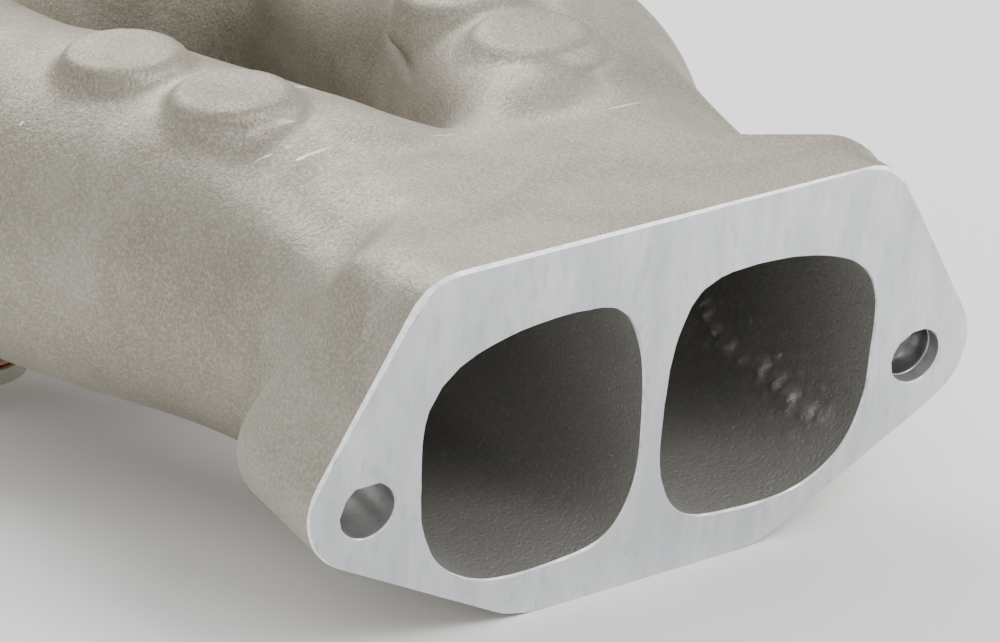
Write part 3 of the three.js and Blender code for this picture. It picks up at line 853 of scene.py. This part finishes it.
def build_casting():
    axes = [
        spaced([(-78.0, 1), (-52.0, FINE), (-41.0, 1), (41.0, FINE), (52.0, 1), (78.0, 1)]),
        spaced([(-2.0, FINE), (3.0, 1), (181.5, 1)]),
        spaced([(-64.0, 1), (-6.0, FINE), (6.0, 1), (38.0, 1)]),
    ]
    points, quads = surface_nets(grid_values(bored_field, axes), axes)
    points = settled(bored_field, points)
    made = mesh_object("casting", points, quads, CASTING_LOOKS)
    mesh = made.data
    mesh.polygons.foreach_set("use_smooth", np.ones(len(mesh.polygons), bool))
    # Thin everything but the stud holes' walls, then cut the faces.
    thin = made.modifiers.new("thin", "DECIMATE")
    thin.ratio = min(1.0, MAX_TRIANGLES / (2 * len(quads)))
    from_hole = np.abs(np.hypot(np.abs(points[:, 0]) - STUD_PITCH / 2, points[:, 2]) - STUD_HOLE_R)
    held = (from_hole < HELD) & (points[:, 1] < STUD_HOLE_END)
    made.vertex_groups.new(name="thinned").add(np.flatnonzero(~held).tolist(), 1.0, "REPLACE")
    thin.vertex_group = "thinned"
    dg = bpy.context.evaluated_depsgraph_get()
    thinned = bpy.data.meshes.new_from_object(made.evaluated_get(dg))
    made.modifiers.clear()
    made.vertex_groups.clear()
    made.data = thinned
    bpy.data.meshes.remove(mesh)
    mesh = thinned
    bm = bmesh.new()
    bm.from_mesh(mesh)
    for f in bm.faces:
        f.smooth = True
    centres = np.array([f.calc_center_median() for f in bm.faces])
    x, y, z = centres.T
    kind = np.full(len(centres), IS_SKIN)
    for side in (-1, 1):
        kind[tube(x, y, z, side, 0.0, BORE_R, 0.0) < NEAR] = IS_PASSAGE
        drilled = np.abs(np.hypot(x - side * STUD_PITCH / 2, z) - STUD_HOLE_R) < NEAR
        kind[drilled & (y < STUD_HOLE_END)] = IS_DRILLED
        at, _, _, down = PORT_FRAMES[side]
        axial = (centres - at) @ down
        radial = np.linalg.norm(centres - at - axial[:, None] * down, axis=1)
        kind[(radial < PORT_BOSS_R - 0.4) & (axial > PORT_BOSS_OUT - 0.15)] = IS_DRILLED
        kind[(radial < PORT_DRILL_R + 0.3) & (axial > PORT_BOSS_FROM)] = IS_DRILLED
    for f, k in zip(bm.faces, kind.tolist()):
        f.material_index = k
    head_holes = [((x, 0, 0), STUD_HOLE_R) for x in (-STUD_PITCH / 2, STUD_PITCH / 2)]
    machine(bm, (0, 0, 0), (0, -1, 0), head_edge_width, IS_HEAD_FACE, head_holes)
    carb_holes = [(CARB_ORIGIN + [sx, 0, 0] + sy * CARB_DOWN, TAPPED_R) for sx, sy in CARB_STUDS]
    carb_holes += [(CARB_ORIGIN + [sx, 0, 0], BORE_R) for sx in (-BORE_X, BORE_X)]
    machine(bm, CARB_ORIGIN, CARB_NORMAL, carb_edge_width, IS_CARB_FACE, carb_holes)
    bmesh.ops.recalc_face_normals(bm, faces=bm.faces[:])
    bm.to_mesh(mesh)
    bm.free()
    co = np.empty(len(mesh.vertices) * 3)
    mesh.vertices.foreach_get("co", co)
    co = co.reshape(-1, 3)
    # Stored per point: the painted highlight in the fillets and creases, and the core seam.
    highlight_and_seam = mesh.attributes.new("highlight_and_seam", "FLOAT", "POINT")
    highlight_and_seam.data.foreach_set("value", highlight_and_seam_at(co).astype(np.float32))
    mesh.vertices.foreach_set("co", lean(co).astype(np.float32).ravel())
    mesh.update()
    return made


def highlight_and_seam_at(p):
    """Painted highlight at each point: in the fillets and creases, and along the core seam."""
    reach = 2.2
    g = gradient(casting_field, p, 0.4)
    g /= np.maximum(np.linalg.norm(g, axis=1, keepdims=True), 1e-6)
    outside = casting_field(*(p + g * reach).T) - reach
    inside = casting_field(*(p - g * reach).T) + reach
    sharp = np.clip(-(inside + outside) * 1.6, -1, 1)
    return np.clip(np.clip(sharp, 0, 1) * 0.55 + core_flash(*p.T) * (p[:, 2] < 5), 0, 1)


casting = build_casting()
print("casting", len(casting.data.polygons), "faces")
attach(casting, "casting")
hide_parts("manifold_casting")


# ---- hardware -------------------------------------------------------------------------------------

THREAD_PITCH = 1.25
THREAD_DEPTH = 0.5684  # share of the pitch
THREAD_FLANKS = 0.82  # share of the pitch
STUD_R, STUD_OUT, STUD_CHAMFER = 4.0, 30.0, 1.0
STUD_PLAIN = (-1.0, 3.5)  # heights between which a stud has no thread
STUD_ROOM_R = 4.3  # holes that go over a stud

# Heights above the carburettor face.
WASHER_AT, WASHER_R, WASHER_THICK = 1.8, 8.5, 1.6
SPRING_AT, SPRING_R, SPRING_THICK = 3.7, 7.3, 2.0
SPRING_GAP, SPRING_TWIST = math.radians(14), 0.34
NUT_AT, NUT_FLATS, NUT_BORE, NUT_THICK = 6.0, 13.0, 4.15, 6.5

RING_R_IN, RING_R_OUT, RING_THICK = 5.3, 6.8, 1.0
PLUG_R, PLUG_END, PLUG_KEY = 5.0, -9.0, 5.0
SLEEVE_AT, SLEEVE_LONG, SLEEVE_R_IN, SLEEVE_R_OUT = 2.6, 4.2, 4.2, 5.0
GASKET_THICK, GASKET_INSET, GASKET_BORE_R = 1.2, 0.8, 22.6


def polar(profile_at, count, closed=True, gap=0.0):
    """Points and faces of a turned piece: profile_at(angle) gives its section as (radius, height)
    points. An open section starts and ends on the axis, and gap is an angle left out of the turn."""
    start, stop = gap / 2, 2 * math.pi - gap / 2
    angles = start + (stop - start) * np.arange(count + (1 if gap else 0)) / count
    rings = []
    for a in angles:
        rings.append([(r * math.cos(a), r * math.sin(a), h) for r, h in profile_at(a)])
    m = len(rings[0])
    points = [p for ring in rings for p in ring]
    faces = []
    for i in range(len(rings) - 1 if gap else len(rings)):
        j = (i + 1) % len(rings)
        for k in range(m if closed else m - 1):
            q = (k + 1) % m
            faces.append((i * m + k, j * m + k, j * m + q, i * m + q))
    if gap:
        faces.append(tuple(range(m)))
        faces.append(tuple(reversed(range((len(rings) - 1) * m, len(rings) * m))))
    return points, faces


def hardware(name, points, faces, matrix, material, body, slot, sharp=34):
    """Adds a finished piece. Edges that turn by more than sharp degrees are drawn as edges."""
    made = mesh_object(name, points, faces, [material])
    bm = bmesh.new()
    bm.from_mesh(made.data)
    bmesh.ops.remove_doubles(bm, verts=bm.verts[:], dist=1e-4)
    bmesh.ops.recalc_face_normals(bm, faces=bm.faces[:])
    bm.to_mesh(made.data)
    bm.free()
    made.data.transform(matrix)
    made.data.polygons.foreach_set("use_smooth", np.ones(len(made.data.polygons), bool))
    made.data.set_sharp_from_angle(angle=math.radians(sharp))
    made.data.update()
    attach(made, body)
    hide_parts(name.replace("_seen", ""))


def thread(r, angle, height):
    """Radius of a screw thread's surface at an angle and height."""
    phase = (height / THREAD_PITCH - angle / (2 * math.pi)) % 1.0
    ramp = min(abs(phase - 0.5) * 2 / THREAD_FLANKS, 1.0)
    return r - THREAD_DEPTH * THREAD_PITCH * (1 - ramp)


def hex_radius(flats, a):
    """Radius of a hexagon whose flats face the odd multiples of 30 degrees."""
    return flats / 2 / math.cos(a % (math.pi / 3) - math.pi / 6)


def ring_section(r_in, r_out, low, high, bevel):
    """A rectangle with all four corners broken in two short steps."""
    part = bevel * 0.4
    return [
        (r_in, low + bevel), (r_in + part, low + part), (r_in + bevel, low),
        (r_out - bevel, low), (r_out - part, low + part), (r_out, low + bevel),
        (r_out, high - bevel), (r_out - part, high - part), (r_out - bevel, high),
        (r_in + bevel, high), (r_in + part, high - part), (r_in, high - bevel),
    ]


def stud_profile(a):
    low = GAP - STUD_DEPTH
    steps = int((STUD_OUT - low) / (THREAD_PITCH / 8))
    section = [(0.0, low)]
    for h in np.linspace(low, STUD_OUT, steps + 1):
        r = STUD_R - 0.05 if STUD_PLAIN[0] <= h <= STUD_PLAIN[1] else thread(STUD_R, a, h)
        from_end = min(h - low, STUD_OUT - h)
        section.append((min(r, STUD_R - STUD_CHAMFER + from_end), h))
    return section + [(0.0, STUD_OUT)]


def spring_profile(a):
    lift = (a - math.pi) / (2 * math.pi) * SPRING_TWIST
    return ring_section(STUD_ROOM_R, SPRING_R, 0.2 + lift, SPRING_THICK - 0.2 + lift, 0.18)


def nut_profile(a):
    """The corners are cut back by a 30 degree chamfer on both faces."""
    chamfer_r = NUT_FLATS / 2 * 0.965
    r = hex_radius(NUT_FLATS, a)
    cut = (r - chamfer_r) * math.tan(math.radians(30))
    return [
        (NUT_BORE, 0.9), (NUT_BORE + 0.7, 0.0), (chamfer_r - 0.1, 0.0), (chamfer_r, 0.05),
        (r, cut + 0.05), (r, NUT_THICK / 2), (r, NUT_THICK - cut - 0.05), (chamfer_r, NUT_THICK - 0.05),
        (chamfer_r - 0.1, NUT_THICK), (NUT_BORE + 0.7, NUT_THICK), (NUT_BORE, NUT_THICK - 0.9),
        (NUT_BORE, NUT_THICK / 2),
    ]


def plug_profile(a):
    """A threaded end, a flat-faced collar and a hexagon socket."""
    key = hex_radius(PLUG_KEY, a + math.pi / 6)
    section = [(0.0, PLUG_END)]
    for h in np.linspace(PLUG_END, -1.0, 65):
        section.append((min(thread(PLUG_R, a, h), 4.2 + (h - PLUG_END)), h))
    return section + [
        (4.5, -0.9), (4.5, 0.0), (6.6, 0.0), (7.0, 0.3), (7.0, 2.3), (6.85, 2.7), (6.4, 3.0),
        (key + 0.5, 3.0), (key, 2.6), (key, -2.2), (0.0, -3.6),
    ]


def gasket_mesh():
    """A sheet with the two bores and the four stud holes cut out."""
    loops = [carb_outline(GASKET_INSET, 12)]
    circles = [(x, 0.0, GASKET_BORE_R, 72) for x in (-BORE_X, BORE_X)]
    circles += [(x, y, STUD_ROOM_R, 32) for x, y in CARB_STUDS]
    for cx, cy, r, count in circles:
        a = np.arange(count) / count * 2 * math.pi
        loops.append(np.stack([cx + r * np.cos(a), cy + r * np.sin(a)], 1))
    bm = bmesh.new()
    for loop in loops:
        verts = [bm.verts.new((x, y, 0.0)) for x, y in loop]
        for i in range(len(verts)):
            bm.edges.new((verts[i - 1], verts[i]))
    bmesh.ops.remove_doubles(bm, verts=bm.verts[:], dist=1e-4)
    bmesh.ops.triangle_fill(bm, use_beauty=True, edges=bm.edges[:], normal=Vector((0, 0, -1)))
    raised = bmesh.ops.extrude_face_region(bm, geom=bm.faces[:])["geom"]
    for v in raised:
        if isinstance(v, bmesh.types.BMVert):
            v.co.z += GASKET_THICK
    bm.verts.ensure_lookup_table()
    bm.verts.index_update()
    points = [v.co[:] for v in bm.verts]
    faces = [[v.index for v in f.verts] for f in bm.faces]
    bm.free()
    return points, faces


# On each stud: its washers and nut.
stud = polar(stud_profile, 36, closed=False)
washer = polar(lambda a: ring_section(STUD_ROOM_R, WASHER_R, 0.0, WASHER_THICK, 0.22), 72)
spring = polar(spring_profile, 66, gap=SPRING_GAP)
nut = polar(nut_profile, 72)
for number, (sx, sy) in enumerate(CARB_STUDS, 1):
    stack = [
        ("carburettor_stud", stud, 0.0, ZINC, "casting", "zinc_steel", 60),
        ("flat_washer", washer, WASHER_AT, ZINC, f"washers_{number}", "zinc_steel", 50),
        ("spring_washer", spring, SPRING_AT, SPRING, f"washers_{number}", "spring_steel", 50),
        ("stud_nut", nut, NUT_AT, ZINC, f"nut_{number}", "zinc_steel", 28),
    ]
    for name, shape, height, material, body, slot, sharp in stack:
        place = to_row(CARB_MATRIX @ Matrix.Translation((sx, sy, height)))
        hardware(f"{name}_{number}_seen", *shape, place, material, body, slot, sharp)

# Under each runner: a vacuum plug on its sealing ring.
ring = polar(lambda a: ring_section(RING_R_IN, RING_R_OUT, 0.0, RING_THICK, 0.3), 72)
plug = polar(plug_profile, 72, closed=False)
RING_AT = PORT_BOSS_OUT + GAP
PLUG_AT = RING_AT + RING_THICK + GAP
for side, word in ((-1, "left"), (1, "right")):
    at, across, forth, down = PORT_FRAMES[side]
    turned = Matrix(np.array([across, forth, down]).T.tolist()).to_4x4()
    basis = Matrix.Translation(at.tolist()) @ turned
    pieces = [
        ("sealing_ring", ring, RING_AT, COPPER, f"seal_{word}", "sealing_copper", 60),
        ("vacuum_plug", plug, PLUG_AT, ZINC, f"plug_{word}", "zinc_steel", 40),
    ]
    for name, shape, height, material, body, slot, sharp in pieces:
        place = to_row(basis @ Matrix.Translation((0, 0, height)))
        hardware(f"{name}_{word}_seen", *shape, place, material, body, slot, sharp)

# The sleeve in the right stud hole.
along_y = Matrix.Rotation(-math.pi / 2, 4, "X")
place = to_row(Matrix.Translation((STUD_PITCH / 2, SLEEVE_AT, 0)) @ along_y)
sleeve = polar(lambda a: ring_section(SLEEVE_R_IN, SLEEVE_R_OUT, 0.0, SLEEVE_LONG, 0.2), 72)
hardware("stud_hole_sleeve_seen", *sleeve, place, SLEEVE, "casting", "sleeve_steel", 60)

# The carburettor gasket.
place = to_row(CARB_MATRIX @ Matrix.Translation((0, 0, GAP)))
hardware("carburettor_gasket_seen", *gasket_mesh(), place, FIBRE, "casting", "gasket_fibre", 40)

# ---- floor, light and camera ----------------------------------------------------------------------

FLOOR_Z = -0.02456  # under the head flange's foot
FLOOR_FALL = 0.00375  # towards the carburettor flange, whose foot is lower
FLOOR_HALF = 3.0
floor = mesh_object(
    "floor",
    [(sx * FLOOR_HALF, sy * FLOOR_HALF, FLOOR_Z - FLOOR_FALL * sy * FLOOR_HALF)
     for sx, sy in ((-1, -1), (1, -1), (1, 1), (-1, 1))],
    [(0, 1, 2, 3)],
)
paper = Nodes("floor_paper")
tone = paper.mix(paper.span(paper.noise(6), 0.3, 0.7), (0.93, 0.93, 0.93), (0.95, 0.95, 0.95))
floor.data.materials.append(paper.finish(tone, 0.9, 0.0))

world = bpy.data.worlds.new("studio")
bpy.context.scene.world = world
world.use_nodes = True
world.node_tree.nodes["Background"].inputs[0].default_value = (1.0, 1.0, 1.0, 1.0)
world.node_tree.nodes["Background"].inputs[1].default_value = 0.90


def soft_box(name, position, target, size, power):
    light = bpy.data.lights.new(name, "AREA")
    light.shape = "RECTANGLE"
    light.size, light.size_y = size
    light.energy = power
    made = bpy.data.objects.new(name, light)
    bpy.context.scene.collection.objects.link(made)
    made.location = position
    made.rotation_mode = "QUATERNION"
    made.rotation_quaternion = (Vector(target) - Vector(position)).to_track_quat("-Z", "Y")


soft_box("key", (0.30, -0.80, 0.80), (0, 0.05, 0), (0.5, 0.5), 8.5)
soft_box("fill", (0.95, -0.35, 0.35), (0, 0.05, 0), (0.7, 0.5), 4.0)
soft_box("back", (0.1, 0.9, 0.9), (0, 0.08, 0), (0.9, 0.5), 11.0)

camera = bpy.data.cameras.new("camera")
camera.lens = 154.9
camera.sensor_width = 36.0
camera.clip_start, camera.clip_end = 0.01, 20
eye = bpy.data.objects.new("camera", camera)
bpy.context.scene.collection.objects.link(eye)
EYE_AT = Vector((-0.30858, -0.47216, 0.22405))
RIGHT = Vector((0.8458, -0.5311, -0.0503)).normalized()
FORWARD = Vector((0.4847, 0.8043, -0.3436)).normalized()
UP = RIGHT.cross(FORWARD)
eye.matrix_world = Matrix((
    (RIGHT.x, UP.x, -FORWARD.x, EYE_AT.x),
    (RIGHT.y, UP.y, -FORWARD.y, EYE_AT.y),
    (RIGHT.z, UP.z, -FORWARD.z, EYE_AT.z),
    (0, 0, 0, 1),
))
bpy.context.scene.camera = eye
